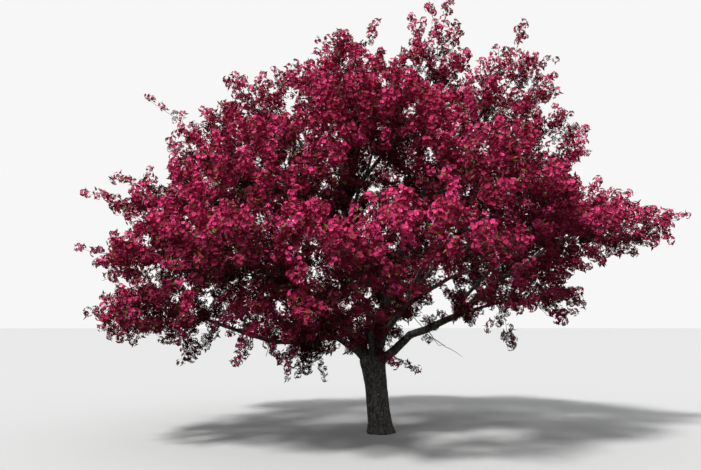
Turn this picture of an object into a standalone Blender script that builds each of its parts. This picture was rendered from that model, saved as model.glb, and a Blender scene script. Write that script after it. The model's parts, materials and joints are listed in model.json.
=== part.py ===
"""Profusion crabapple in full bloom: its trunk, its boughs and its masses of blossom.

Metres, +Z up. The foot of the trunk stands at the origin on level ground. +X is to
the right and +Y away from someone who looks at the tree's best side.
"""
import math
import random
from collections import namedtuple

import bmesh
import bpy
from mathutils import Quaternion, Vector, noise

CLEARANCE = 0.0003  # kept between two pieces that meet
SEED = 7

# Trunk: height of each ring, its radius, and how far it has leaned to the left
TRUNK_SIDES = 16
TRUNK_RINGS = (
    (0.00, 0.215, 0.000),
    (0.06, 0.196, 0.003),
    (0.16, 0.180, 0.010),
    (0.40, 0.172, 0.030),
    (0.70, 0.168, 0.062),
    (0.92, 0.182, 0.094),
    (1.06, 0.198, 0.116),
    (1.16, 0.166, 0.126),
    (1.20, 0.090, 0.130),
)
ROOTS = 5  # root ridges round the flare
ROOT_RIDGE = 0.13  # their height as a share of the radius
ROOT_FADE = 0.16  # height over which they die away

LIMB_SIDES = 7
LIMB_STEP = 0.40  # length of one straight stretch of a limb
LIMB_CROOK = 0.035  # how far a limb strays from its smooth line
LIMB_TAPER = 0.8  # below 1, a limb thins sooner than a straight cone
ENTRY = 0.56  # where a limb stops, as a share of the mass's own radius there
FORK_REACH = 0.45  # limbs whose first stretches come this close are cut clear of each other
FORK_POINTS = 4  # how many points of a limb's line count as its first stretch
FORK_TOP = 1.6  # a limb that starts above this height can't touch the trunk

FACINGS = 92  # corners of one mass, apart from those of its shoots
LUMP = 0.22  # unevenness of a mass, as a share of its radius
LUMP_SCALE = 1.9
SHOOT_SIDES = 5
SHOOT_SPREAD = math.radians(10)  # half width of a shoot at its foot, seen from the middle
SPARE_SHOOTS = 3  # shoots a mass has besides those that are named
SPARE_REACH = (1.15, 1.38)  # their reach, as a share of the mass's radius

Limb = namedtuple("Limb", "name parent at leaves via feeds arrives thick thin")
Mass = namedtuple("Mass", "name middle half shoots")

# Masses of blossom: middle, half sizes, and the tips of the shoots that stand out
MASSES = [
    Mass("blossom_left_low", (-2.92, -0.95, 1.78), (1.05, 1.10, 0.44),
         [(-4.05, -0.95, 1.50), (-3.30, -1.00, 1.30), (-4.12, -0.80, 1.92)]),
    Mass("blossom_left_middle", (-2.95, -0.75, 2.56), (1.08, 1.25, 0.50),
         [(-4.42, -0.60, 2.70), (-4.20, -0.60, 2.22)]),
    Mass("blossom_left_shoulder", (-3.05, -0.15, 3.36), (0.98, 1.15, 0.52),
         [(-4.56, -0.20, 3.64), (-4.20, -0.20, 3.92), (-3.64, -0.20, 4.12)]),
    Mass("blossom_left_upper", (-2.58, 0.35, 4.40), (0.80, 1.20, 0.60),
         [(-3.80, 0.30, 5.32), (-3.36, 0.30, 5.10), (-2.62, 0.30, 5.34)]),
    Mass("blossom_upper_left", (-1.66, 0.05, 4.98), (0.80, 1.15, 0.58),
         [(-2.34, 0.05, 5.68), (-1.27, 0.05, 6.16)]),
    Mass("blossom_top_left", (-0.50, -0.05, 5.36), (0.84, 1.10, 0.66),
         [(-1.00, 0.00, 6.30), (-0.55, 0.00, 6.27), (0.14, 0.00, 6.84)]),
    Mass("blossom_top", (0.92, 0.10, 5.66), (0.68, 1.10, 0.72),
         [(0.84, 0.00, 6.96), (1.22, 0.00, 7.02), (0.50, 0.00, 6.60)]),
    Mass("blossom_top_right", (2.05, 0.10, 5.34), (0.76, 1.15, 0.56),
         [(1.55, 0.00, 6.32), (2.36, 0.00, 6.58), (2.95, 0.00, 5.97)]),
    Mass("blossom_right_upper", (2.55, 0.35, 4.42), (0.76, 1.20, 0.58),
         [(3.25, 0.30, 5.20), (3.50, 0.30, 4.46)]),
    Mass("blossom_right_shoulder", (3.45, 0.25, 3.18), (1.00, 1.15, 0.48),
         [(4.32, 0.25, 3.62), (4.94, 0.25, 3.30), (4.58, 0.25, 2.76)]),
    Mass("blossom_right_middle", (2.35, -1.00, 2.98), (0.92, 1.10, 0.58),
         [(3.35, -1.20, 2.55)]),
    Mass("blossom_right_low", (2.08, -1.10, 1.96), (0.72, 0.75, 0.32),
         [(2.84, -1.10, 1.93), (2.25, -1.10, 1.46), (1.66, -1.10, 1.50)]),
    Mass("blossom_front_left_low", (-1.22, -1.55, 1.72), (0.78, 0.62, 0.32),
         [(-1.55, -1.90, 1.16), (-0.66, -1.75, 1.30)]),
    Mass("blossom_front_left", (-1.90, -2.10, 2.56), (0.90, 0.95, 0.55), []),
    Mass("blossom_front_middle", (-0.50, -2.50, 2.24), (0.72, 0.90, 0.56), []),
    Mass("blossom_front_right", (0.68, -2.60, 2.56), (0.88, 0.90, 0.52), []),
    Mass("blossom_front_right_upper", (1.40, -1.90, 3.55), (0.90, 0.90, 0.60), []),
    Mass("blossom_front_left_upper", (-1.55, -1.55, 3.68), (0.96, 0.90, 0.68), []),
    Mass("blossom_upper_front", (-0.05, -1.20, 4.48), (0.98, 0.90, 0.66), []),
    Mass("blossom_upper_right_front", (1.42, -0.75, 4.62), (0.68, 0.80, 0.56), []),
    Mass("blossom_back_left_low", (-2.35, 2.05, 2.70), (1.20, 1.15, 0.62),
         [(-3.45, 2.90, 2.60), (-2.30, 3.40, 3.10)]),
    Mass("blossom_back_low", (0.10, 2.95, 2.80), (1.20, 1.05, 0.62),
         [(-0.20, 4.15, 3.00), (0.90, 3.95, 2.50)]),
    Mass("blossom_back_right_low", (2.35, 2.00, 2.80), (1.20, 1.15, 0.62),
         [(3.40, 2.75, 2.70), (2.50, 3.25, 3.30)]),
    Mass("blossom_back_left_upper", (-1.35, 1.90, 3.95), (1.15, 1.05, 0.66),
         [(-1.60, 3.05, 4.60)]),
    Mass("blossom_back_right_upper", (1.05, 2.00, 4.15), (1.15, 1.05, 0.68),
         [(1.20, 3.15, 4.90)]),
    Mass("blossom_upper_back", (-0.15, 1.35, 5.02), (1.00, 0.90, 0.62),
         [(-0.70, 2.30, 5.60), (0.60, 2.20, 5.75)]),
]

# Limbs: where each leaves its parent, and its compass and rise in degrees at both ends
LIMBS = [
    Limb("leader", "trunk", 0.80, (90, 80), [(0.06, 0.05, 2.00), (-0.54, 0.05, 3.30)],
         "blossom_top_left", (95, 84), 0.120, 0.034),
    Limb("bough_right_low", "trunk", 0.86, (0, 42), [(0.50, 0.00, 1.47), (1.01, 0.00, 1.64),
         (1.88, 0.05, 2.30)], "blossom_right_shoulder", (8, 22), 0.080, 0.030),
    Limb("bough_left", "trunk", 0.90, (186, 50), [(-0.84, -0.30, 1.82), (-1.62, -0.58, 2.30)],
         "blossom_left_shoulder", (165, 20), 0.070, 0.028),
    Limb("bough_left_low", "trunk", 0.82, (192, 42), [(-0.64, -0.28, 1.42), (-1.52, -0.95, 1.38)],
         "blossom_left_low", (172, 12), 0.066, 0.028),
    Limb("bough_front", "trunk", 0.92, (262, 48), [(-0.25, -1.00, 1.95)],
         "blossom_front_middle", (265, 12), 0.058, 0.026),
    Limb("bough_front_right", "leader", 0.12, (300, 30), [],
         "blossom_front_right", (285, 14), 0.056, 0.026),
    Limb("bough_back_left", "trunk", 0.94, (135, 50), [],
         "blossom_back_left_low", (145, 15), 0.062, 0.028),
    Limb("bough_back_right", "leader", 0.16, (50, 34), [],
         "blossom_back_right_low", (35, 15), 0.060, 0.028),
    Limb("bough_back", "leader", 0.20, (95, 34), [],
         "blossom_back_low", (88, 15), 0.054, 0.026),
    Limb("bough_right_upper", "leader", 0.24, (20, 66), [(0.72, 0.05, 3.70)],
         "blossom_top_right", (5, 55), 0.062, 0.028),
    Limb("branch_left_middle", "bough_left", 0.42, (205, 18), [],
         "blossom_left_middle", (182, 6), 0.036, 0.022),
    Limb("branch_front_left_low", "bough_left_low", 0.42, (235, 25), [],
         "blossom_front_left_low", (245, 30), 0.030, 0.020),
    Limb("branch_front_left", "bough_left", 0.30, (240, 32), [],
         "blossom_front_left", (240, 22), 0.036, 0.022),
    Limb("branch_front_left_upper", "leader", 0.30, (225, 50), [],
         "blossom_front_left_upper", (245, 32), 0.042, 0.024),
    Limb("branch_right_middle", "bough_right_low", 0.40, (345, 62), [],
         "blossom_right_middle", (325, 28), 0.040, 0.024),
    Limb("branch_right_low", "bough_right_low", 0.42, (318, 8), [],
         "blossom_right_low", (310, 0), 0.034, 0.022),
    Limb("branch_front_right_upper", "bough_front_right", 0.30, (325, 58), [],
         "blossom_front_right_upper", (300, 52), 0.038, 0.022),
    Limb("branch_left_upper", "leader", 0.52, (172, 42), [],
         "blossom_left_upper", (178, 22), 0.044, 0.024),
    Limb("branch_upper_left", "leader", 0.66, (165, 58), [],
         "blossom_upper_left", (175, 48), 0.042, 0.024),
    Limb("branch_top", "leader", 0.64, (20, 60), [],
         "blossom_top", (20, 66), 0.044, 0.024),
    Limb("branch_upper_back", "leader", 0.70, (75, 48), [],
         "blossom_upper_back", (80, 50), 0.036, 0.022),
    Limb("branch_upper_front", "leader", 0.56, (285, 50), [],
         "blossom_upper_front", (285, 52), 0.038, 0.022),
    Limb("branch_upper_right_front", "bough_right_upper", 0.55, (320, 40), [],
         "blossom_upper_right_front", (310, 35), 0.034, 0.020),
    Limb("branch_right_upper", "bough_right_upper", 0.45, (10, 36), [],
         "blossom_right_upper", (8, 22), 0.040, 0.024),
    Limb("branch_back_left_upper", "leader", 0.42, (130, 48), [],
         "blossom_back_left_upper", (120, 38), 0.042, 0.024),
    Limb("branch_back_right_upper", "bough_right_upper", 0.24, (75, 52), [],
         "blossom_back_right_upper", (80, 45), 0.042, 0.024),
]


def heading(degrees):
    """Direction from a compass angle, 0 to the right and 90 to the back, and a rise."""
    compass, rise = (math.radians(angle) for angle in degrees)
    level = math.cos(rise)
    return Vector((level * math.cos(compass), level * math.sin(compass), math.sin(rise)))


def finish_colour(name, colour, roughness):
    """Principled material of one plain colour."""
    material = bpy.data.materials.new(name)
    material.use_nodes = True
    shader = material.node_tree.nodes["Principled BSDF"]
    shader.inputs["Base Color"].default_value = (*colour, 1.0)
    shader.inputs["Roughness"].default_value = roughness
    shader.inputs["Metallic"].default_value = 0.0
    material.diffuse_color = (*colour, 1.0)
    return material


def add_object(name, mesh_shape, material, smooth):
    """Object made from a closed bmesh, with its faces turned outwards."""
    bmesh.ops.triangulate(mesh_shape, faces=mesh_shape.faces)
    bmesh.ops.recalc_face_normals(mesh_shape, faces=mesh_shape.faces)
    mesh = bpy.data.meshes.new(name)
    mesh_shape.to_mesh(mesh)
    mesh_shape.free()
    mesh.materials.append(material)
    if smooth:
        mesh.shade_smooth()
        mesh.set_sharp_from_angle(angle=math.radians(60))
    piece = bpy.data.objects.new(name, mesh)
    bpy.context.scene.collection.objects.link(piece)
    return piece


def point_along(points, place):
    """Point at a share of the way along a line of points."""
    lengths = [(b - a).length for a, b in zip(points, points[1:])]
    left = place * sum(lengths)
    for start, end, length in zip(points, points[1:], lengths):
        if left <= length:
            return start.lerp(end, left / length)
        left -= length
    return points[-1].copy()


def ellipsoid_reach(half, direction):
    """Distance from the middle of an ellipsoid to its surface."""
    return 1.0 / math.sqrt(sum((part / size) ** 2 for part, size in zip(direction, half)))


def hermite(start, leaving, end, arriving, share):
    """Point on a smooth curve with the given end tangents."""
    square, cube = share ** 2, share ** 3
    return ((2 * cube - 3 * square + 1) * start + (cube - 2 * square + share) * leaving
            + (3 * square - 2 * cube) * end + (cube - square) * arriving)


def smooth_route(knots, leaves, arrives):
    """Even points on one smooth curve through the knots."""
    tangents = [leaves * (knots[1] - knots[0]).length]
    tangents += [(after - before) / 2 for before, after in zip(knots, knots[2:])]
    tangents.append(arrives * (knots[-1] - knots[-2]).length)
    route = [knots[0].copy()]
    for index, (start, end) in enumerate(zip(knots, knots[1:])):
        steps = max(2, round((end - start).length / LIMB_STEP))
        for step in range(1, steps + 1):
            route.append(hermite(start, tangents[index], end, tangents[index + 1], step / steps))
    return route


def entry_point(limb, masses):
    """Place where a limb stops inside the outline of the mass that it feeds."""
    mass = masses[limb.feeds]
    direction = heading(limb.arrives)
    return Vector(mass.middle) - direction * ENTRY * ellipsoid_reach(mass.half, direction)


def limb_route(limb, routes, masses):
    """Slightly crooked line along the middle of a limb."""
    knots = [point_along(routes[limb.parent], limb.at)]
    knots += [Vector(point) for point in limb.via]
    knots.append(entry_point(limb, masses))
    route = smooth_route(knots, heading(limb.leaves), heading(limb.arrives))
    dice = random.Random(limb.name)
    for point in route[1:-2]:
        point += Vector([dice.uniform(-LIMB_CROOK, LIMB_CROOK) for _ in range(3)])
    return route


def limb_radii(limb, route):
    """Radius of a limb at each point of its line."""
    last = len(route) - 1
    return [limb.thick + (limb.thin - limb.thick) * (index / last) ** LIMB_TAPER
            for index in range(last + 1)]


def tube(route, radii, sides):
    """Closed tube along a line, with a flat cap at each end."""
    shape = bmesh.new()
    along = [(b - a).normalized() for a, b in zip(route, route[1:])]
    across = along[0].orthogonal().normalized()
    rings = []
    for index, (centre, radius) in enumerate(zip(route, radii)):
        before = along[max(index - 1, 0)]
        after = along[min(index, len(along) - 1)]
        forward = (before + after).normalized()
        across = (across - forward * across.dot(forward)).normalized()
        beside = forward.cross(across)
        ring = []
        for side in range(sides):
            angle = math.tau * side / sides
            offset = across * math.cos(angle) + beside * math.sin(angle)
            ring.append(shape.verts.new(centre + radius * offset))
        rings.append(ring)
    close_rings(shape, rings)
    return shape


def close_rings(shape, rings):
    """Skin a stack of rings and cap its two ends."""
    sides = len(rings[0])
    for lower, upper in zip(rings, rings[1:]):
        for side in range(sides):
            following = (side + 1) % sides
            shape.faces.new((lower[side], lower[following], upper[following], upper[side]))
    shape.faces.new(reversed(rings[0]))
    shape.faces.new(rings[-1])


def trunk_shape(grow=0.0):
    """Trunk with its lean, its flare at the roots and a rounded fork."""
    shape = bmesh.new()
    rings = []
    for height, radius, lean in TRUNK_RINGS:
        ridge = ROOT_RIDGE * math.exp(-height / ROOT_FADE)
        ring = []
        for side in range(TRUNK_SIDES):
            angle = math.tau * side / TRUNK_SIDES
            reach = radius * (1 + ridge * math.cos(ROOTS * angle)) + grow
            ring.append(shape.verts.new(
                (reach * math.cos(angle) - lean, reach * math.sin(angle), height)))
        rings.append(ring)
    close_rings(shape, rings)
    top = TRUNK_RINGS[-1][0]
    for vertex in rings[-1]:
        vertex.co.z = top + grow
    return shape


def cut_away(piece, cutter_shapes):
    """Take other shapes out of a piece with exact Booleans."""
    for cutter_shape in cutter_shapes:
        cutter = add_object("cutter", cutter_shape, piece.data.materials[0], False)
        cut = piece.modifiers.new("cut", "BOOLEAN")
        cut.operation = "DIFFERENCE"
        cut.solver = "EXACT"
        cut.object = cutter
        with bpy.context.temp_override(object=piece, active_object=piece):
            bpy.ops.object.modifier_apply(modifier=cut.name)
        bpy.data.objects.remove(cutter, do_unlink=True)


def forks_beside(route, other):
    """Whether two limbs start so close together that they could touch."""
    return any((point - near).length < FORK_REACH
               for point in route[:FORK_POINTS] for near in other[:FORK_POINTS])


def grown(widths):
    """Radii of a limb with the clearance round it."""
    return [width + CLEARANCE / math.cos(math.pi / LIMB_SIDES) for width in widths]


def fork_cutters(limb, route, routes, radii):
    """Grown copies of the trunk and the limbs that a new limb has to stay clear of."""
    cutters = [trunk_shape(CLEARANCE)] if route[0].z < FORK_TOP else []
    for name, other in routes.items():
        if name != "trunk" and (name == limb.parent or forks_beside(route, other)):
            cutters.append(tube(other, grown(radii[name]), LIMB_SIDES))
    return cutters


def build_limbs(masses, bark):
    """Trunk and limbs, each cut clear of those made before it. Gives their lines."""
    routes = {"trunk": [Vector((-lean, 0, height)) for height, _, lean in TRUNK_RINGS[:-1]]}
    radii = {"trunk": [radius for _, radius, _ in TRUNK_RINGS[:-1]]}
    add_object("trunk", trunk_shape(), bark, True)
    for limb in LIMBS:
        route = limb_route(limb, routes, masses)
        widths = limb_radii(limb, route)
        piece = add_object(limb.name, tube(route, widths, LIMB_SIDES), bark, True)
        cut_away(piece, fork_cutters(limb, route, routes, radii))
        routes[limb.name] = route
        radii[limb.name] = widths
    return routes, radii


def facings_of(shoots):
    """Directions spread evenly round a point, closer together round each shoot."""
    facings = []
    for shoot in shoots:
        direction = shoot.normalized()
        facings.append(direction)
        beside = direction.orthogonal().normalized()
        tilted = direction * math.cos(SHOOT_SPREAD) + beside * math.sin(SHOOT_SPREAD)
        for side in range(SHOOT_SIDES):
            facings.append(Quaternion(direction, math.tau * side / SHOOT_SIDES) @ tilted)
    crowded = math.cos(SHOOT_SPREAD)
    turn = math.pi * (3 - math.sqrt(5))
    for index in range(FACINGS):
        height = 1 - (2 * index + 1) / FACINGS
        ring = math.sqrt(1 - height ** 2)
        facing = Vector((ring * math.cos(turn * index), ring * math.sin(turn * index), height))
        if all(facing.dot(other) < crowded for other in facings):
            facings.append(facing)
    return facings


def spare_shoots(mass, dice):
    """Shoots that a mass has besides its named ones, mostly to the front and the back."""
    side = math.copysign(1, mass.middle[1] - 0.2)
    shoots = []
    for _ in range(SPARE_SHOOTS):
        direction = Vector((dice.gauss(0, 0.35), side * dice.uniform(0.5, 1.0), dice.gauss(0.3, 0.4)))
        direction.normalize()
        shoots.append(direction * ellipsoid_reach(mass.half, direction) * dice.uniform(*SPARE_REACH))
    return shoots


def separating_planes(mass, routes, radii, limbs):
    """Planes that keep a mass clear of its neighbours and of every limb."""
    middle = Vector(mass.middle)
    planes = []
    for other in MASSES:
        if other.name == mass.name:
            continue
        apart = Vector(other.middle) - middle
        direction = apart.normalized()
        own = ellipsoid_reach(mass.half, direction)
        theirs = ellipsoid_reach(other.half, direction)
        planes.append((direction, apart.length * own / (own + theirs) - CLEARANCE / 2))
    for name, route in routes.items():
        feeds_this = name in limbs and limbs[name].feeds == mass.name
        last = len(route) - 2
        for index, (start, end) in enumerate(zip(route, route[1:])):
            if feeds_this and index == last:
                direction = (start - end).normalized()
                planes.append((direction, (end - middle).dot(direction) - CLEARANCE))
                continue
            along = end - start
            share = (middle - start).dot(along) / along.length_squared
            nearest = start + along * min(max(share, 0.0), 1.0)
            apart = nearest - middle
            width = max(radii[name][index], radii[name][index + 1])
            planes.append((apart.normalized(), apart.length - width - CLEARANCE))
    return planes


def clipped(reach, facing, planes):
    """Reach along a direction, cut short by the planes."""
    for direction, distance in planes:
        slope = facing.dot(direction)
        if slope > 1e-6:
            reach = min(reach, distance / slope)
    return reach


def mass_shape(mass, planes):
    """Closed uneven solid with its shoots, cut flat where it meets its neighbours."""
    dice = random.Random(f"{SEED} {mass.name}")
    middle = Vector(mass.middle)
    shoots = [Vector(tip) - middle for tip in mass.shoots] + spare_shoots(mass, dice)
    offset = Vector([dice.uniform(-50, 50) for _ in range(3)])
    shape = bmesh.new()
    facings = facings_of(shoots)
    tips = {index * (SHOOT_SIDES + 1): shoot.length for index, shoot in enumerate(shoots)}
    reaches = []
    for index, facing in enumerate(facings):
        lump = 1 + LUMP * noise.noise(facing * LUMP_SCALE + offset)
        reach = tips.get(index, ellipsoid_reach(mass.half, facing) * lump)
        reaches.append(clipped(reach, facing, planes))
        shape.verts.new(facing)
    bmesh.ops.convex_hull(shape, input=shape.verts)
    for vertex, facing, reach in zip(shape.verts, facings, reaches):
        vertex.co = middle + facing * reach
    return shape


def main():
    for piece in list(bpy.data.objects):
        bpy.data.objects.remove(piece, do_unlink=True)
    bark = finish_colour("bark", (0.085, 0.068, 0.058), 0.9)
    blossom = finish_colour("blossom", (0.36, 0.02, 0.09), 0.75)
    masses = {mass.name: mass for mass in MASSES}
    limbs = {limb.name: limb for limb in LIMBS}
    routes, radii = build_limbs(masses, bark)
    for mass in MASSES:
        planes = separating_planes(mass, routes, radii, limbs)
        add_object(mass.name, mass_shape(mass, planes), blossom, False)


main()
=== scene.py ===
import json
import math

import bpy
import numpy as np
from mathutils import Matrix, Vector, noise
from mathutils.bvhtree import BVHTree

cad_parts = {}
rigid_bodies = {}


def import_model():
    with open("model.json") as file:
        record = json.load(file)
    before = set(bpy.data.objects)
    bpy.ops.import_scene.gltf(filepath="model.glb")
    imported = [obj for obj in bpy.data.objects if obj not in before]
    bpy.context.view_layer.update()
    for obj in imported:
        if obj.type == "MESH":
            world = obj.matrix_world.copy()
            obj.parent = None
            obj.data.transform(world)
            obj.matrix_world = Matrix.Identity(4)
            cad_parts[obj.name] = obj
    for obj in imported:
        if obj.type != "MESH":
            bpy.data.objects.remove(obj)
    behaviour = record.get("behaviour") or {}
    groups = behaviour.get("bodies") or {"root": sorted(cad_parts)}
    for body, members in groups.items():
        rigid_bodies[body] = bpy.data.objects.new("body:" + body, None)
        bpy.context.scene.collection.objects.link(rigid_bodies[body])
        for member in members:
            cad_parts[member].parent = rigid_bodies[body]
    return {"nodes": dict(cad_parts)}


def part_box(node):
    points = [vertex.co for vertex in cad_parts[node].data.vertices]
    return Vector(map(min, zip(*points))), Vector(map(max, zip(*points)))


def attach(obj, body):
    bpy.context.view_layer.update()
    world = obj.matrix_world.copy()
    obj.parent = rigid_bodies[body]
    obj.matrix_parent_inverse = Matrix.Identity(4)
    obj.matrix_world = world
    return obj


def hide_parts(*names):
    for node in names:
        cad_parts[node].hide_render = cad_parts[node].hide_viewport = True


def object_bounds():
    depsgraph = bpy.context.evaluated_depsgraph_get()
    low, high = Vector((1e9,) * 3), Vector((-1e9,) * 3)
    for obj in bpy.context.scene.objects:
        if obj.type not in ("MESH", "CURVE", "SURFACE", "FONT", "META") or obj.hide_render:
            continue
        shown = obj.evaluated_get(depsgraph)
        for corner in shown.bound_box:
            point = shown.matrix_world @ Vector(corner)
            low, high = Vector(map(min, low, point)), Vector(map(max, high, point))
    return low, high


for leftover in list(bpy.data.objects):
    bpy.data.objects.remove(leftover)

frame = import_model()
cad_low, cad_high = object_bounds()
bpy.ops.object.select_all(action="DESELECT")

# Driving sizes, in metres unless the name says otherwise
SEED = 11
UP = Vector((0, 0, 1))
HEART = Vector((-0.1, 0.1, 2.3))
FAR_OUTSIDE = 20.0

SAME_PLACE = 0.00005
BARK_VOXEL = 0.0145
BARK_SMOOTHING = 5
TRUNK_TOP = 1.3
TRUNK_FADE = 0.5
PLATES_APART = Vector((7, 3, 1))
KNOTS_APART = Vector((2, 9, 4))
TRUNK_RELIEF = 0.011
LIMB_RELIEF = 0.004
LIMB_SIDES = 7
LIMB_OVERLAP = 0.06

TWIG_SPACING = 0.29
OPEN_SPACING = 0.37
SPACING_JITTER = 0.42
INSIDE_BY = 0.05
DEEP = 1.1
DEEP_SHARE = 0.6
TIP_REACH = 1.12
TIP_SHARES = (0.9, 0.7)
TIP_SPACING = 0.2
FIRST_STEP = 0.12
PATH_COST = 0.45
TURN_COST = 0.35
EASE_ROUNDS = 2
EASE_KEPT = 0.55
LIMB_SHARE = 0.92
TWIG_TIP = 0.0032
TWIG_GROWTH = 0.44
TWIG_PARTS = 3
TWIG_SIDES = 4
SPRAY_SIDES = 3
SHOOT_TAPER = 0.5
STEEP = 0.9
STEEP_GUIDE = np.array((0.31, 0.87, 0.38))
LEVEL_GUIDE = np.array((0.1, 0.2, 0.97))

SPRAY_LENGTH = (0.26, 0.56)
INNER_LENGTH = (0.12, 0.30)
STEP = 0.084
DRESSED_STEP = 0.10
DRESSED_LONGER = 0.16
BOX_MARGIN = 0.10
PROUD = (0.0, 0.09)
FOLD_GAP = 0.5
FOLD_TOP = 5.2
FOLD_SPREAD = 0.24
FOLD_DEPTH = 0.15
FOLD_RANK = 2
WANDER = 0.132
LEAF_TURN = 2.4
BARE_SHARE = 0.2
INNER_SHARE = 0.75
ENDS_DENSE = 3
ENDS_OPEN = 1
LOW_CROWN = 2.1
LIFT_LOW = -0.05
LIFT_HIGH = 0.12
CLUSTER_SIZE = (1.15, 1.55)
CLUSTER_OFFSET = 0.03
SPURS_EACH = 22
SPURS_MORE = {"bough_left_low": 60, "branch_front_left_low": 45, "branch_front_left": 30}
SPUR_LOWEST = 1.22
SPUR_SEAT = 0.012
SPUR_STEPS = 4
SPUR_STEPS_LONG = 8
SPUR_DEPTH = 0.9
SPRIG_SEAT = 0.01
SPRIG_WANDER = 0.008

FLOWER_RADIUS = 0.0235
BALL_RADIUS = 0.034
BALL_COVER = 1.45
PETALS = 5
FLOWERS_EACH = 6
TINTS_IN_FULL = 3
CLUSTER_KINDS = 10
LEAVES_EACH = 2
LEAF_LENGTH = (0.045, 0.07)
LEAF_WIDTH = 0.024
LEAF_OFFSET = 0.018
KINDS_TO_A_BUD = 3
BUD_RADIUS = 0.006
BUD_TAIL = -0.012
BUD_TIP = 0.011
PIECE_LIMIT = 190_000

OPEN_MASSES = (
    "blossom_top", "blossom_top_right", "blossom_upper_right_front",
    "blossom_right_upper", "blossom_left_upper", "blossom_upper_left",
)

# The bough that feeds each mass. Where none is given, the branch of the same name does
FEEDER = {
    "blossom_top_left": "leader",
    "blossom_right_shoulder": "bough_right_low",
    "blossom_left_shoulder": "bough_left",
    "blossom_left_low": "bough_left_low",
    "blossom_front_middle": "bough_front",
    "blossom_front_right": "bough_front_right",
    "blossom_back_left_low": "bough_back_left",
    "blossom_back_right_low": "bough_back_right",
    "blossom_back_low": "bough_back",
    "blossom_top_right": "bough_right_upper",
}

# Single sprigs that show by themselves: their points, and whether they bear blossom
SPRIGS = (
    (((0.08, -0.15, 1.05), (0.30, -0.28, 1.06), (0.52, -0.36, 0.97)), True),
    (((0.05, -0.16, 1.12), (0.17, -0.30, 1.10), (0.20, -0.36, 1.02)), True),
    (((0.72, -0.08, 1.47), (0.92, -0.15, 1.33), (1.26, -0.22, 1.13)), False),
    (((0.78, -0.08, 1.45), (0.90, -0.02, 1.31), (1.02, 0.04, 1.30)), False),
    (((0.64, -0.10, 1.58), (0.43, -0.18, 1.82), (0.20, -0.24, 1.88)), False),
    (((-1.52, -1.20, 1.36), (-1.46, -1.24, 1.24), (-1.30, -1.30, 1.06)), True),
    (((-1.92, -1.40, 1.31), (-1.94, -1.44, 1.20), (-1.98, -1.46, 1.12)), True),
    (((-1.20, -1.05, 1.38), (-1.22, -1.12, 1.26), (-1.30, -1.18, 1.18)), True),
    (((-0.10, -0.20, 1.35), (-0.20, -0.38, 1.50), (-0.34, -0.55, 1.62)), True),
    (((-0.05, -0.22, 1.30), (-0.02, -0.42, 1.48), (-0.10, -0.56, 1.72)), True),
    (((-0.20, -0.18, 1.40), (-0.32, -0.36, 1.40), (-0.48, -0.48, 1.30)), True),
)

# Base colours of the blossom, brightest first, graded from painted light to painted shade with a random
# spread; and of the young leaves
BLOSSOM_LIGHT_TO_SHADE_TINTS = {
    "blossom_pink_painted_light": (0.82, 0.068, 0.250),
    "blossom_rose_painted_light": (0.60, 0.040, 0.155),
    "blossom_crimson_painted_half_shade": (0.39, 0.024, 0.084),
    "blossom_wine_painted_shade": (0.17, 0.013, 0.038),
    "blossom_deep_painted_shade": (0.065, 0.009, 0.018),
}
# Score limits between the blossom tints: a high score gets painted light, a low score painted shade
TINT_STEPS = (0.40, 0.57, 0.73, 0.89)
SHADE_DEPTH = 1.25
SCORE_OUTSIDE = 0.55
SCORE_UPWARD = 0.22
SCORE_SPREAD = 0.15
LEAF_TINTS = {
    "leaves_bronze": (0.130, 0.034, 0.022),
    "leaves_copper": (0.26, 0.085, 0.032),
    "leaves_green": (0.13, 0.17, 0.035),
}
LEAF_SHARES = (0.55, 0.27, 0.18)
BUD_COLOUR = (0.36, 0.012, 0.05)
PETAL_ROUGHNESS = 0.8
LEAF_ROUGHNESS = 0.5
BUD_ROUGHNESS = 0.45
PLAIN_SPECULAR = 0.1

# Bark: dark and light wood, where the flecks start, and how rough furrows and ridges are
LIMB_BARK = ((0.020, 0.017, 0.015), (0.150, 0.132, 0.118), 0.56)
TWIG_BARK = ((0.030, 0.020, 0.017), (0.105, 0.078, 0.066), 0.70)
LICHEN = (0.23, 0.235, 0.21)
BARK_SPECULAR = 0.3
FURROW_STRETCH = 0.28
FLECK_EDGE = 0.12
DARK_UP_TO = 0.36
LIGHT_FROM = 0.66
FURROW_UP_TO = 0.3
RIDGE_FROM = 0.8
ROUGH_FURROW = (0.96, 0.96, 0.96)
ROUGH_RIDGE = (0.74, 0.74, 0.74)
BUMP_STRENGTH = 0.7
BUMP_DEPTH = 0.012
# Scale, detail and roughness of the bark's two noises
FURROW_NOISE = (34.0, 8.0, 0.68)
FLECK_NOISE = (30.0, 3.0, 0.5)
BLACK = (0, 0, 0)
WHITE = (1, 1, 1)

rng = np.random.default_rng(SEED)
blossom_nodes = sorted(n for n in frame["nodes"] if n.startswith("blossom_"))
limb_nodes = sorted(n for n in frame["nodes"] if not n.startswith("blossom_"))


def corners_of(node):
    """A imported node's corners, each once."""
    mesh = frame["nodes"][node].data
    places = np.empty(len(mesh.vertices) * 3)
    mesh.vertices.foreach_get("co", places)
    return np.unique(places.reshape(-1, 3).round(5), axis=0)


def surface_of(objects):
    """One search tree over the faces of several objects."""
    points = []
    faces = []
    for thing in objects:
        first = len(points)
        points += [vertex.co.copy() for vertex in thing.data.vertices]
        faces += [[first + i for i in face.vertices] for face in thing.data.polygons]
    return BVHTree.FromPolygons(points, faces)


def height_outside(surface, point):
    """How far a point stands out of a surface, below nought inside it."""
    gap = surface.find_nearest(point)[3]
    away = (point - HEART).normalized()
    normal = surface.ray_cast(point, away)[1]
    if normal is not None and normal.dot(away) > 0:
        return -gap
    return gap


crown = surface_of([frame["nodes"][n] for n in blossom_nodes])


def depth_in_crown(point):
    """How far a point lies behind the crown's outer side, seen from the crown's heart."""
    heading = (point - HEART).normalized()
    spot = crown.ray_cast(HEART + heading * FAR_OUTSIDE, -heading)[0]
    if spot is None:
        return 0.0
    return (spot - HEART).length - (point - HEART).length


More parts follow.
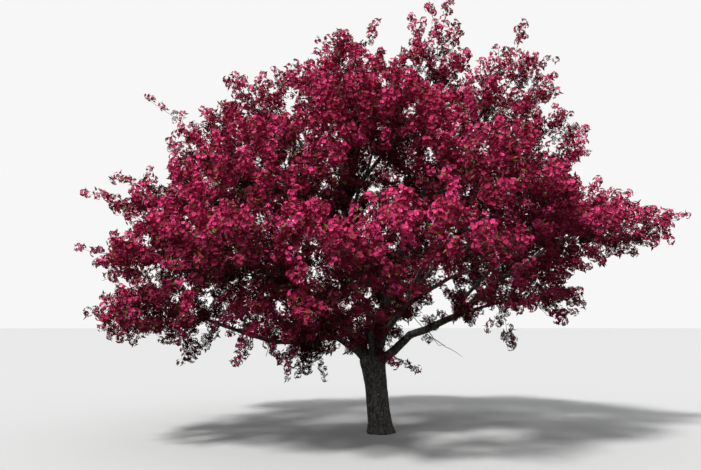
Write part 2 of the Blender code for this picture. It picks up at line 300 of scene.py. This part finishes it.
def in_a_fold(point):
    """True in a dent between masses, where at least two of four sides reach further out."""
    if point.z > FOLD_TOP:
        return False
    away = (point - HEART).normalized()
    side = away.orthogonal().normalized() * FOLD_SPREAD
    other = away.cross(side)
    reaches = []
    for tilt in (side, -side, other, -other):
        heading = (away + tilt).normalized()
        spot = crown.ray_cast(HEART + heading * FAR_OUTSIDE, -heading)[0]
        reaches.append(0.0 if spot is None else (spot - HEART).length)
    return (point - HEART).length < sorted(reaches)[FOLD_RANK] - FOLD_DEPTH


def scatter():
    """A random vector, the same each run."""
    return Vector(rng.normal(0, 1, 3))


# Materials


def plain_material(name, colour, roughness):
    """A dull surface in one plain tint, for petals, leaves, buds and the floor."""
    material = bpy.data.materials.new(name)
    material.use_nodes = True
    shader = material.node_tree.nodes["Principled BSDF"]
    shader.inputs["Base Color"].default_value = (*colour, 1)
    shader.inputs["Roughness"].default_value = roughness
    shader.inputs["Specular IOR Level"].default_value = PLAIN_SPECULAR
    return material


def ramp(nodes, links, source, first, last):
    """A colour ramp over a value, from one place and colour to another."""
    made = nodes.new("ShaderNodeValToRGB")
    for stop, (place, colour) in zip(made.color_ramp.elements, (first, last)):
        stop.position = place
        stop.color = (*colour, 1)
    links.new(source, made.inputs["Fac"])
    return made.outputs["Color"]


def pattern(nodes, links, places, scale, detail, roughness):
    """A noise over the bark's places."""
    made = nodes.new("ShaderNodeTexNoise")
    made.inputs["Scale"].default_value = scale
    made.inputs["Detail"].default_value = detail
    made.inputs["Roughness"].default_value = roughness
    links.new(places, made.inputs["Vector"])
    return made.outputs["Fac"]


def bark_material(name, dark, light, fleck_start):
    """Furrowed grey-brown bark with pale lichen flecks."""
    material = bpy.data.materials.new(name)
    material.use_nodes = True
    nodes = material.node_tree.nodes
    links = material.node_tree.links
    shader = nodes["Principled BSDF"]
    shader.inputs["Specular IOR Level"].default_value = BARK_SPECULAR
    places = nodes.new("ShaderNodeTexCoord").outputs["Object"]
    stretch = nodes.new("ShaderNodeMapping")
    stretch.inputs["Scale"].default_value = (1.0, 1.0, FURROW_STRETCH)
    links.new(places, stretch.inputs["Vector"])
    furrows = pattern(nodes, links, stretch.outputs["Vector"], *FURROW_NOISE)
    ground = ramp(nodes, links, furrows, (DARK_UP_TO, dark), (LIGHT_FROM, light))
    flecks = pattern(nodes, links, places, *FLECK_NOISE)
    patch = ramp(nodes, links, flecks, (fleck_start, BLACK), (fleck_start + FLECK_EDGE, WHITE))
    mix = nodes.new("ShaderNodeMix")
    mix.data_type = "RGBA"
    links.new(patch, mix.inputs["Factor"])
    links.new(ground, mix.inputs["A"])
    mix.inputs["B"].default_value = (*LICHEN, 1)
    links.new(mix.outputs["Result"], shader.inputs["Base Color"])
    dryness = ramp(nodes, links, furrows, (FURROW_UP_TO, ROUGH_FURROW), (RIDGE_FROM, ROUGH_RIDGE))
    links.new(dryness, shader.inputs["Roughness"])
    bump = nodes.new("ShaderNodeBump")
    bump.inputs["Strength"].default_value = BUMP_STRENGTH
    bump.inputs["Distance"].default_value = BUMP_DEPTH
    links.new(furrows, bump.inputs["Height"])
    links.new(bump.outputs["Normal"], shader.inputs["Normal"])
    return material


def add_piece(name, points, triangles, material):
    """One joined mesh that rides on the tree and stands for the masses of blossom."""
    mesh = bpy.data.meshes.new(name)
    mesh.vertices.add(len(points))
    mesh.vertices.foreach_set("co", points.astype(np.float32).ravel())
    mesh.loops.add(len(triangles) * 3)
    mesh.loops.foreach_set("vertex_index", triangles.astype(np.int32).ravel())
    mesh.polygons.add(len(triangles))
    mesh.polygons.foreach_set("loop_start", np.arange(0, len(triangles) * 3, 3, dtype=np.int32))
    mesh.update(calc_edges=True)
    mesh.materials.append(material)
    piece = bpy.data.objects.new(name, mesh)
    bpy.context.scene.collection.objects.link(piece)
    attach(piece, "root")
    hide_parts(*blossom_nodes)


# Bark


def bark_height(place):
    """How far the bark stands out at a place: long furrows on the trunk, knots on the limbs."""
    trunk_part = min(1.0, max(0.0, (TRUNK_TOP - place.z) / TRUNK_FADE))
    furrow = noise.noise(Vector((place.x * 24, place.y * 24, place.z * 5)))
    plates = noise.noise(Vector((place.x * 9, place.y * 9, place.z * 4)) + PLATES_APART)
    knots = noise.noise(place * 11 + KNOTS_APART)
    ridges = 1 - 2 * abs(furrow)
    on_trunk = (ridges * 0.6 + plates * 0.9) * TRUNK_RELIEF
    on_limbs = (knots + 0.5 * furrow) * LIMB_RELIEF
    return trunk_part * on_trunk + (1 - trunk_part) * on_limbs


def make_limbs():
    """Trunk, boughs and branches as one skin, with collars at the forks and relief all over."""
    copies = []
    for node in limb_nodes:
        copy = frame["nodes"][node].copy()
        copy.data = copy.data.copy()
        copy.parent = None
        for key in list(copy.keys()):
            del copy[key]
        bpy.context.scene.collection.objects.link(copy)
        copy.select_set(True)
        copies.append(copy)
    bpy.context.view_layer.objects.active = copies[0]
    bpy.ops.object.join()
    limbs = bpy.context.view_layer.objects.active
    limbs.name = "limbs"
    limbs.data.name = "limbs"
    bpy.ops.object.mode_set(mode="EDIT")
    bpy.ops.mesh.select_all(action="SELECT")
    bpy.ops.mesh.remove_doubles(threshold=SAME_PLACE)
    bpy.ops.mesh.normals_make_consistent(inside=False)
    bpy.ops.object.mode_set(mode="OBJECT")
    remesh = limbs.modifiers.new("skin", "REMESH")
    remesh.mode = "VOXEL"
    remesh.voxel_size = BARK_VOXEL
    bpy.ops.object.modifier_apply(modifier=remesh.name)
    smooth = limbs.modifiers.new("collars", "SMOOTH")
    smooth.factor = 0.5
    smooth.iterations = BARK_SMOOTHING
    bpy.ops.object.modifier_apply(modifier=smooth.name)
    mesh = limbs.data
    for vertex, normal in zip(mesh.vertices, [n.vector.copy() for n in mesh.vertex_normals]):
        vertex.co += normal * bark_height(vertex.co)
        vertex.co.z = max(0.0, vertex.co.z)
    mesh.update()
    mesh.materials.clear()
    mesh.materials.append(bark_material("bark_dark", *LIMB_BARK))
    bpy.ops.object.shade_smooth()
    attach(limbs, "root")
    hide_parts(*limb_nodes)
    bpy.ops.object.select_all(action="DESELECT")
    return limbs


# Twigs


class Bundle:
    """Points and triangles that are joined into one piece."""

    def __init__(self):
        self.points = []
        self.triangles = []
        self.count = 0

    def add(self, points, triangles):
        self.points.append(points)
        self.triangles.append(triangles + self.count)
        self.count += len(points)

    def arrays(self):
        return np.concatenate(self.points), np.concatenate(self.triangles)


def add_tube(bundle, line, radii, sides):
    """A closed, tapering tube along a line of points."""
    line = np.array(line)
    along = np.gradient(line, axis=0)
    along /= np.linalg.norm(along, axis=1)[:, None] + 1e-9
    guide = STEEP_GUIDE if abs(along[0][2]) > STEEP else LEVEL_GUIDE
    side = np.cross(along, guide)
    side /= np.linalg.norm(side, axis=1)[:, None] + 1e-9
    other = np.cross(along, side)
    turns = np.arange(sides) * 2 * math.pi / sides
    ring = side[:, None] * np.cos(turns)[None, :, None] + other[:, None] * np.sin(turns)[None, :, None]
    points = (line[:, None] + ring * np.array(radii)[:, None, None]).reshape(-1, 3)
    triangles = []
    for level in range(len(line) - 1):
        for k in range(sides):
            a = level * sides + k
            b = level * sides + (k + 1) % sides
            triangles += [(a, b, b + sides), (a, b + sides, a + sides)]
    last = (len(line) - 1) * sides
    for k in range(1, sides - 1):
        triangles += [(0, k + 1, k), (last, last + k, last + k + 1)]
    bundle.add(points, np.array(triangles))


def hermite(start, end, leave, arrive, share):
    """A point on a smooth curve that leaves and arrives along given vectors."""
    squared = share * share
    cubed = squared * share
    return (
        start * (2 * cubed - 3 * squared + 1) + leave * (cubed - 2 * squared + share)
        + end * (3 * squared - 2 * cubed) + arrive * (cubed - squared)
    )


def limb_end(limb, surface):
    """The middle, heading and radius of a limb's end, where it enters its mass."""
    corners = corners_of(limb)
    gaps = [surface.find_nearest(Vector(c))[3] for c in corners]
    ring = corners[np.argsort(gaps)[:LIMB_SIDES]]
    middle = ring.mean(axis=0)
    radius = float(np.linalg.norm(ring - middle, axis=1).mean())
    normal = surface.find_nearest(Vector(middle))[1]
    return Vector(middle), -normal, radius


def targets_in(node, surface):
    """Scattered places inside a mass that its twigs grow to, its own tips among them."""
    low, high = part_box(node)
    spacing = OPEN_SPACING if node in OPEN_MASSES else TWIG_SPACING
    axes = [np.arange(a, b, spacing) for a, b in zip(low, high)]
    grid = np.stack(np.meshgrid(*axes, indexing="ij"), axis=-1).reshape(-1, 3)
    grid += rng.uniform(-SPACING_JITTER, SPACING_JITTER, grid.shape) * spacing
    found = []
    for place in grid:
        point = Vector(place)
        keep = rng.random()
        if height_outside(surface, point) > -INSIDE_BY:
            continue
        if depth_in_crown(point) > DEEP and keep > DEEP_SHARE:
            continue
        found.append(place)
    corners = corners_of(node)
    middle = corners.mean(axis=0)
    reach = np.linalg.norm(corners - middle, axis=1)
    for corner in corners[reach > TIP_REACH * np.median(reach)]:
        for share in TIP_SHARES:
            tip = middle + (corner - middle) * share
            if all(np.linalg.norm(tip - other) > TIP_SPACING for other in found):
                found.append(tip)
    return np.array(found)


def branching(start, heading, targets):
    """Joins the targets to the limb's end one after another, each by the cheapest way."""
    points = [np.array(start), np.array(start + heading * FIRST_STEP)]
    parents = [-1, 0]
    lengths = [0.0, FIRST_STEP]
    headings = [np.array(heading), np.array(heading)]
    cost = np.full(len(targets), np.inf)
    best = np.ones(len(targets), int)
    waiting = np.ones(len(targets), bool)
    newest = 1
    while waiting.any():
        gaps = targets - points[newest]
        far = np.linalg.norm(gaps, axis=1) + 1e-9
        turn = 1 - gaps @ headings[newest] / far
        offer = far * (1 + TURN_COST * turn) + PATH_COST * (lengths[newest] + far)
        better = offer < cost
        cost[better] = offer[better]
        best[better] = newest
        pick = int(np.argmin(np.where(waiting, cost, np.inf)))
        waiting[pick] = False
        parent = int(best[pick])
        step = targets[pick] - points[parent]
        length = float(np.linalg.norm(step)) + 1e-9
        newest = len(points)
        points.append(targets[pick].copy())
        parents.append(parent)
        lengths.append(lengths[parent] + length)
        headings.append(step / length)
    return points, parents


def eased(points, parents):
    """The same branching with its kinks eased. The limb's end and the twig ends stay."""
    children = [[] for _ in points]
    for index, parent in enumerate(parents):
        if parent >= 0:
            children[parent].append(index)
    for _ in range(EASE_ROUNDS):
        moved = [p.copy() for p in points]
        for index in range(2, len(points)):
            if children[index]:
                after = np.mean([points[c] for c in children[index]], axis=0)
                ends = points[parents[index]] + after
                moved[index] = EASE_KEPT * points[index] + (1 - EASE_KEPT) / 2 * ends
        points = moved
    return points, children


def add_twigs(bundle, points, parents, children, thick):
    """Draws the branching as tapering tubes, thicker where they carry more twigs."""
    tips = np.array([0.0 if kids else 1.0 for kids in children])
    for index in range(len(points) - 1, 0, -1):
        tips[parents[index]] += tips[index]
    radii = np.minimum(TWIG_TIP * tips ** TWIG_GROWTH, thick * LIMB_SHARE)
    radii[0] = thick * LIMB_SHARE
    for index in range(1, len(points)):
        parent = parents[index]
        start = Vector(points[parent])
        end = Vector(points[index])
        span = (end - start).length
        before = Vector(points[parents[parent]]) if parent > 0 else start - (end - start)
        coming = (start - before).normalized()
        going = (end - start).normalized()
        leave = (coming * 0.55 + going * 0.45) * span
        line = [hermite(start, end, leave, going * span, k / TWIG_PARTS) for k in range(TWIG_PARTS + 1)]
        first = radii[parent] if parent == 0 else min(radii[parent], radii[index] * 1.4)
        add_tube(bundle, line, np.linspace(first, radii[index], TWIG_PARTS + 1), TWIG_SIDES)


# Sprays of blossom


class Sprays:
    """Where each flower cluster goes, gathered spray by spray."""

    def __init__(self):
        self.places = []
        self.axes = []
        self.sizes = []
        self.tints = []
        self.leaf_tints = []

    def add_cluster(self, place, axis, size, tint, leaf_tint):
        for low, at, high in zip(cad_low, place, cad_high):
            if not low - BOX_MARGIN < at < high + BOX_MARGIN:
                return
        self.places.append(place)
        self.axes.append(axis)
        self.sizes.append(size)
        self.tints.append(tint)
        self.leaf_tints.append(leaf_tint)


def tints_for(depth, heading):
    """A spray's tints. Its flowers get painted light outside and on top and painted shade within and
    below, with a random spread.
    """
    outer = min(1.0, max(0.0, 1 - depth / SHADE_DEPTH))
    # Painted light and shade: sprays outside the crown and facing up score higher and take a brighter
    # tint
    score = SCORE_OUTSIDE * outer + SCORE_UPWARD * (heading.z + 0.5) + rng.normal(0, SCORE_SPREAD)
    tint = len(TINT_STEPS) - int(np.digitize(score, TINT_STEPS))
    leaf_tint = int(rng.choice(len(LEAF_TINTS), p=LEAF_SHARES))
    return tint, leaf_tint


def around(along, turn):
    """The direction at right angles to a line at a given turn round it."""
    side = along.orthogonal().normalized()
    return side * math.cos(turn) + along.cross(side) * math.sin(turn)


def grow_spray(sprays, bundle, start, heading, length):
    """One curved shoot, with a cluster at each step and the twig that carries them."""
    proud = rng.uniform(*PROUD)
    lift = LIFT_LOW if start.z < LOW_CROWN else LIFT_HIGH
    line = [start]
    for _ in range(max(2, round(length / STEP))):
        heading = (heading + UP * lift + scatter() * WANDER).normalized()
        point = line[-1] + heading * STEP
        height = height_outside(crown, point)
        if height > proud and not (height < FOLD_GAP and in_a_fold(point)):
            break
        line.append(point)
    if len(line) < 3:
        return
    tint, leaf_tint = tints_for(depth_in_crown(line[-1]), heading)
    add_tube(bundle, line, np.linspace(TWIG_TIP, TWIG_TIP * SHOOT_TAPER, len(line)), SPRAY_SIDES)
    turn = rng.uniform(0, 2 * math.pi)
    along = (line[-1] - line[0]).normalized()
    first = max(1, int(len(line) * BARE_SHARE))
    for number in range(first, len(line)):
        turn += LEAF_TURN
        is_last = number == len(line) - 1
        axis = (heading if is_last else around(along, turn) + UP * 0.55 + along * 0.35).normalized()
        size = rng.uniform(*CLUSTER_SIZE)
        place = line[number] + axis * CLUSTER_OFFSET * size * (0.3 if is_last else 1.0)
        sprays.add_cluster(place, axis, size, tint, leaf_tint)


def dress_twig(sprays, start, end, depth):
    """Clusters along an outer twig, turning round it."""
    span = end - start
    if span.length < DRESSED_LONGER:
        return
    along = span.normalized()
    tint, leaf_tint = tints_for(depth, along)
    turn = rng.uniform(0, 2 * math.pi)
    for number in range(1, int(span.length / DRESSED_STEP) + 1):
        turn += LEAF_TURN
        axis = (around(along, turn) + UP * 0.5).normalized()
        place = start + along * DRESSED_STEP * number + axis * CLUSTER_OFFSET * 1.6
        sprays.add_cluster(place, axis, rng.uniform(*CLUSTER_SIZE), tint, leaf_tint)


def sprays_on(sprays, bundle, middle, points, parents, children, end_count):
    """Sprays from the ends and forks of the twigs, shorter and fewer deep inside."""
    for index in range(2, len(points)):
        place = Vector(points[index])
        depth = depth_in_crown(place)
        coming = (place - Vector(points[parents[index]])).normalized()
        out = (place - middle).normalized() * 0.6 + (place - HEART).normalized() * 0.5
        is_end = not children[index]
        if depth > DEEP:
            count = 1 if rng.random() < INNER_SHARE else 0
            reach = INNER_LENGTH
        else:
            count = end_count if is_end else 1
            reach = SPRAY_LENGTH
            dress_twig(sprays, Vector(points[parents[index]]), place, depth)
        for number in range(count):
            spread = 0.22 if number == 0 and is_end else 0.5
            heading = (coming * 0.55 + out + UP * 0.2 + scatter() * spread).normalized()
            grow_spray(sprays, bundle, place, heading, rng.uniform(*reach))


def grow_crown(sprays, twigs, shoots):
    """Fills every mass with its own branching, grown on from its limb."""
    for node in blossom_nodes:
        surface = surface_of([frame["nodes"][node]])
        limb = FEEDER.get(node, node.replace("blossom_", "branch_"))
        end, heading, radius = limb_end(limb, surface)
        targets = targets_in(node, surface)
        points, parents = branching(end - heading * LIMB_OVERLAP, heading, targets)
        points, children = eased(points, parents)
        add_twigs(twigs, points, parents, children, radius)
        middle = Vector(targets.mean(axis=0))
        end_count = ENDS_OPEN if node in OPEN_MASSES else ENDS_DENSE
        sprays_on(sprays, shoots, middle, points, parents, children, end_count)


def grow_spurs(sprays, shoots):
    """Flowering spurs straight from every limb but the trunk, longer ones higher up."""
    for limb in limb_nodes:
        if limb == "trunk":
            continue
        mesh = frame["nodes"][limb].data
        for _ in range(SPURS_MORE.get(limb, SPURS_EACH)):
            face = mesh.polygons[int(rng.integers(len(mesh.polygons)))]
            shares = rng.dirichlet((1, 1, 1))
            start = sum((mesh.vertices[v].co * s for v, s in zip(face.vertices, shares)), Vector())
            if start.z < SPUR_LOWEST:
                continue
            is_long = start.z > LOW_CROWN or limb in SPURS_MORE
            grow_spur(sprays, shoots, start - face.normal * SPUR_SEAT, face.normal, is_long)


def grow_spur(sprays, shoots, start, normal, is_long):
    """One spur, with a cluster at each of its steps."""
    heading = (normal + UP * 0.4 + scatter() * 0.3).normalized()
    line = [start]
    for _ in range(int(rng.integers(2, SPUR_STEPS_LONG if is_long else SPUR_STEPS))):
        line.append(line[-1] + heading * STEP)
        heading = (heading + UP * 0.08 + scatter() * WANDER).normalized()
    add_tube(shoots, line, np.linspace(TWIG_TIP, TWIG_TIP * SHOOT_TAPER, len(line)), SPRAY_SIDES)
    # Spurs get their painted light and shade as if they stood at a set depth in the crown
    tint, leaf_tint = tints_for(SPUR_DEPTH, heading)
    for point in line[1:]:
        axis = (heading + scatter() * 0.5).normalized()
        sprays.add_cluster(point, axis, rng.uniform(*CLUSTER_SIZE), tint, leaf_tint)


def grow_sprigs(sprays, shoots, limbs):
    """The single sprigs that hang or stand free, seated on the nearest bark."""
    bark = surface_of([limbs])
    for places, in_bloom in SPRIGS:
        points = [Vector(p) for p in places]
        spot, normal, _, _ = bark.find_nearest(points[0])
        points.insert(0, spot - normal * SPRIG_SEAT)
        line = []
        for number in range(len(points) - 1):
            span = points[number + 1] - points[number]
            parts = max(1, round(span.length / STEP))
            line += [points[number] + span * (k / parts) for k in range(parts)]
        line.append(points[-1])
        line = [line[0]] + [p + scatter() * SPRIG_WANDER for p in line[1:]]
        add_tube(shoots, line, np.linspace(TWIG_TIP * 2.4, TWIG_TIP * 0.6, len(line)), TWIG_SIDES)
        if not in_bloom:
            continue
        tint = int(rng.integers(1, 4))
        for point in line[len(line) // 3:]:
            axis = (scatter() * 0.6 + Vector((0, -0.3, 0.1))).normalized()
            sprays.add_cluster(point, axis, rng.uniform(*CLUSTER_SIZE), tint, 0)


# Flower clusters


def frame_along(axis, spin):
    """Three directions at right angles, the last along the axis."""
    guide = np.array((0.0, 0.0, 1.0)) if abs(axis[2]) < 0.9 else np.array((1.0, 0.0, 0.0))
    side = np.cross(guide, axis)
    side /= np.linalg.norm(side)
    other = np.cross(axis, side)
    turned = side * math.cos(spin) + other * math.sin(spin)
    return np.array((turned, np.cross(axis, turned), axis))


def flower(cup):
    """An open flower of five petals, each one kite folded along its middle."""
    points = []
    triangles = []
    for petal in range(PETALS):
        turn = petal * 2 * math.pi / PETALS
        ahead = np.array((math.cos(turn), math.sin(turn), 0))
        across = np.array((-math.sin(turn), math.cos(turn), 0))
        lift = np.array((0, 0, 1.0))
        kite = (
            ahead * 0.06,
            ahead * 0.66 - across * 0.44 + lift * (cup + 0.10),
            ahead + lift * cup * 0.8,
            ahead * 0.66 + across * 0.44 + lift * (cup + 0.10),
        )
        first = len(points)
        points += kite
        triangles += [(first, first + 1, first + 2), (first, first + 2, first + 3)]
    return np.array(points) * FLOWER_RADIUS, np.array(triangles)


def dark_flower(cup):
    """The same flower with one triangle to a petal, for the two darkest tints, which are painted shade.
    """
    turns = np.arange(PETALS)[:, None] * 2 * math.pi / PETALS
    ahead = np.hstack((np.cos(turns), np.sin(turns), np.zeros_like(turns)))
    across = np.hstack((-np.sin(turns), np.cos(turns), np.zeros_like(turns)))
    rim = ahead * 0.9 + np.array((0, 0, cup))
    points = np.stack((ahead * 0.06, rim - across * 0.48, rim + across * 0.48), axis=1)
    return points.reshape(-1, 3) * FLOWER_RADIUS, np.arange(PETALS * 3).reshape(-1, 3)


def leaf(length, width):
    """A narrow young leaf, folded along its rib."""
    points = np.array(((0, 0, 0), (0.45, -0.5, 0.1), (1, 0, 0.03), (0.45, 0.5, 0.1)))
    return points * (length, width, length), np.array(((0, 1, 2), (0, 2, 3)))


def bud():
    """A pointed bud, with three sides."""
    turns = np.arange(3) * 2 * math.pi / 3
    ring = np.stack((np.cos(turns), np.sin(turns), np.zeros(3)), axis=1) * BUD_RADIUS
    points = np.vstack(((0, 0, BUD_TAIL), ring, (0, 0, BUD_TIP)))
    triangles = []
    for k in range(3):
        a = 1 + k
        b = 1 + (k + 1) % 3
        triangles += [(0, b, a), (4, a, b)]
    return points, np.array(triangles)


def outwards(lowest, highest):
    """A random direction out of a cluster, as steep as the two limits let it be."""
    turn = rng.uniform(0, 2 * math.pi)
    ahead = np.array((math.cos(turn), math.sin(turn), rng.uniform(lowest, highest)))
    return ahead / np.linalg.norm(ahead)


def cluster_kind(number):
    """One cluster: a half ball of open flowers, two young leaves and now and then a bud."""
    parts = {"flowers": Bundle(), "dark_flowers": Bundle(), "leaves": Bundle(), "buds": Bundle()}
    for k in range(FLOWERS_EACH):
        lean = math.acos(1 - (k + 0.35) / FLOWERS_EACH * BALL_COVER)
        turn = k * LEAF_TURN + rng.uniform(-0.3, 0.3)
        level = math.sin(lean)
        axis = np.array((level * math.cos(turn), level * math.sin(turn), math.cos(lean)))
        facing = axis + rng.normal(0, 0.14, 3)
        facing /= np.linalg.norm(facing)
        cup = rng.uniform(0.18, 0.5)
        size = rng.uniform(0.85, 1.12)
        reach = BALL_RADIUS * rng.uniform(0.8, 1.1)
        turned = frame_along(facing, rng.uniform(0, 6)) * size
        for name, shape in (("flowers", flower(cup)), ("dark_flowers", dark_flower(cup))):
            parts[name].add(shape[0] @ turned + axis * reach, shape[1])
    for _ in range(LEAVES_EACH):
        ahead = outwards(-0.1, 0.7)
        side, other, along = frame_along(ahead, rng.uniform(0, 6))
        points, triangles = leaf(rng.uniform(*LEAF_LENGTH), LEAF_WIDTH)
        placed = points @ np.array((along, side, other)) + ahead * LEAF_OFFSET
        parts["leaves"].add(placed, triangles)
    if number % KINDS_TO_A_BUD == 0:
        ahead = outwards(0.2, 1.4)
        points, triangles = bud()
        parts["buds"].add(points @ frame_along(ahead, 0) + ahead * BALL_RADIUS * 1.25, triangles)
    return {name: bundle.arrays() for name, bundle in parts.items() if bundle.count}


def turned_frames(axes):
    """For each cluster, three directions at right angles with a random spin."""
    guide = np.where(np.abs(axes[:, 2:3]) < 0.9, (0.0, 0.0, 1.0), (1.0, 0.0, 0.0))
    side = np.cross(guide, axes)
    side /= np.linalg.norm(side, axis=1)[:, None]
    other = np.cross(axes, side)
    spin = rng.uniform(0, 2 * math.pi, len(axes))[:, None]
    turned = side * np.cos(spin) + other * np.sin(spin)
    return np.stack((turned, np.cross(axes, turned), axes), axis=1)


def place_copies(shape, places, frames, sizes):
    """Every copy of one shape, as one set of points and triangles."""
    points, triangles = shape
    placed = np.einsum("pi,nij->npj", points, frames) * sizes[:, None, None] + places[:, None]
    shifts = np.arange(len(places)) * len(points)
    joined = triangles[None] + shifts[:, None, None]
    return placed.reshape(-1, 3), joined.reshape(-1, 3)


def add_joined(name, bundle, material):
    """Joins a bundle into as many pieces as the limit on a piece asks for."""
    points, triangles = bundle.arrays()
    count = math.ceil(len(triangles) / PIECE_LIMIT)
    for number, part in enumerate(np.array_split(triangles, count)):
        used, renumbered = np.unique(part, return_inverse=True)
        full_name = name if count == 1 else f"{name}_{number + 1}"
        add_piece(full_name, points[used], renumbered.reshape(-1, 3), material)
    print(f"{name}: {len(triangles)} triangles in {count}")


def make_blossom(sprays):
    """Every cluster of the crown, joined by tint, the tints running from painted light to painted
    shade.
    """
    places = np.array(sprays.places)
    axes = np.array(sprays.axes)
    sizes = np.array(sprays.sizes)
    tints = np.array(sprays.tints)
    leaf_tints = np.array(sprays.leaf_tints)
    frames = turned_frames(axes)
    kinds = rng.integers(0, CLUSTER_KINDS, len(places))
    shapes = [cluster_kind(number) for number in range(CLUSTER_KINDS)]
    flowers = [Bundle() for _ in BLOSSOM_LIGHT_TO_SHADE_TINTS]
    leaves = [Bundle() for _ in LEAF_TINTS]
    buds = Bundle()
    for kind, shape in enumerate(shapes):
        of_kind = kinds == kind
        for tint, bundle in enumerate(flowers):
            chosen = of_kind & (tints == tint)
            # The painted shade tints take the flower with one triangle to a petal
            blooms = shape["flowers" if tint < TINTS_IN_FULL else "dark_flowers"]
            bundle.add(*place_copies(blooms, places[chosen], frames[chosen], sizes[chosen]))
        for tint, bundle in enumerate(leaves):
            chosen = of_kind & (leaf_tints == tint)
            bundle.add(*place_copies(shape["leaves"], places[chosen], frames[chosen], sizes[chosen]))
        if "buds" in shape:
            buds.add(*place_copies(shape["buds"], places[of_kind], frames[of_kind], sizes[of_kind]))
    for (name, colour), bundle in zip(BLOSSOM_LIGHT_TO_SHADE_TINTS.items(), flowers):
        add_joined(name, bundle, plain_material(name, colour, PETAL_ROUGHNESS))
    for (name, colour), bundle in zip(LEAF_TINTS.items(), leaves):
        add_joined(name, bundle, plain_material(name, colour, LEAF_ROUGHNESS))
    add_joined("buds", buds, plain_material("buds", BUD_COLOUR, BUD_ROUGHNESS))
    print(f"clusters: {len(places)}")


# Studio

CAMERA_PLACE = (-0.45, -10.6, 1.6)
CAMERA_TILT = 97.6
CAMERA_LENS = 35.0
CAMERA_SENSOR = 36.0
SEEN_TO = 600.0
FLOOR_RADIUS = 500.0
FLOOR_DROP = 0.002
FLOOR_COLOUR = (0.54, 0.54, 0.53)
FLOOR_ROUGHNESS = 0.95
SUN_TURN = (32.0, -16.0, -14.0)
SUN_STRENGTH = 3.7
SUN_SPREAD = 10.0
SKY_LIGHT = 0.75
SKY_BELOW = 0.07
SKY_SEEN = 0.93
SKY_COLOUR = (0.95, 0.97, 1.0)
SKY_RISE = (-0.2, 0.9)


def make_camera():
    """The camera at the photograph's viewing angle."""
    bpy.ops.object.camera_add(location=CAMERA_PLACE, rotation=(math.radians(CAMERA_TILT), 0, 0))
    camera = bpy.context.object
    camera.name = "camera"
    camera.data.lens = CAMERA_LENS
    camera.data.sensor_width = CAMERA_SENSOR
    camera.data.clip_end = SEEN_TO
    bpy.context.scene.camera = camera


def make_floor():
    """A plain pale floor that runs on to the horizon."""
    bpy.ops.mesh.primitive_circle_add(
        vertices=96, radius=FLOOR_RADIUS, fill_type="NGON", location=(0, 0, -FLOOR_DROP),
    )
    floor = bpy.context.object
    floor.name = "floor"
    floor.data.materials.append(plain_material("floor_pale", FLOOR_COLOUR, FLOOR_ROUGHNESS))
    floor.visible_diffuse = False


def make_sun():
    """One soft sun from the upper front."""
    bpy.ops.object.light_add(type="SUN", rotation=[math.radians(a) for a in SUN_TURN])
    sun = bpy.context.object
    sun.name = "sun"
    sun.data.energy = SUN_STRENGTH
    sun.data.angle = math.radians(SUN_SPREAD)


def make_sky():
    """A pale sky that lights from above, and looks even behind the tree."""
    world = bpy.data.worlds.new("sky")
    world.use_nodes = True
    nodes = world.node_tree.nodes
    links = world.node_tree.links
    lighting = nodes["Background"]
    lighting.inputs["Color"].default_value = (*SKY_COLOUR, 1)
    place = nodes.new("ShaderNodeTexCoord")
    split = nodes.new("ShaderNodeSeparateXYZ")
    links.new(place.outputs["Generated"], split.inputs["Vector"])
    height = nodes.new("ShaderNodeMapRange")
    height.inputs["From Min"].default_value, height.inputs["From Max"].default_value = SKY_RISE
    height.inputs["To Min"].default_value = SKY_BELOW
    height.inputs["To Max"].default_value = SKY_LIGHT
    links.new(split.outputs["Z"], height.inputs["Value"])
    links.new(height.outputs["Result"], lighting.inputs["Strength"])
    seen = nodes.new("ShaderNodeBackground")
    seen.inputs["Color"].default_value = (*WHITE, 1)
    seen.inputs["Strength"].default_value = SKY_SEEN
    rays = nodes.new("ShaderNodeLightPath")
    mix = nodes.new("ShaderNodeMixShader")
    links.new(rays.outputs["Is Camera Ray"], mix.inputs["Fac"])
    links.new(lighting.outputs["Background"], mix.inputs[1])
    links.new(seen.outputs["Background"], mix.inputs[2])
    links.new(mix.outputs["Shader"], nodes["World Output"].inputs["Surface"])
    bpy.context.scene.world = world
    bpy.context.scene.view_settings.view_transform = "Standard"


sprays = Sprays()
twigs = Bundle()
shoots = Bundle()
limbs = make_limbs()
grow_crown(sprays, twigs, shoots)
grow_spurs(sprays, shoots)
grow_sprigs(sprays, shoots, limbs)
twig_bark = bark_material("bark_twigs", *TWIG_BARK)
add_joined("twigs", twigs, twig_bark)
add_joined("shoots", shoots, twig_bark)
make_blossom(sprays)
make_camera()
make_floor()
make_sun()
make_sky()
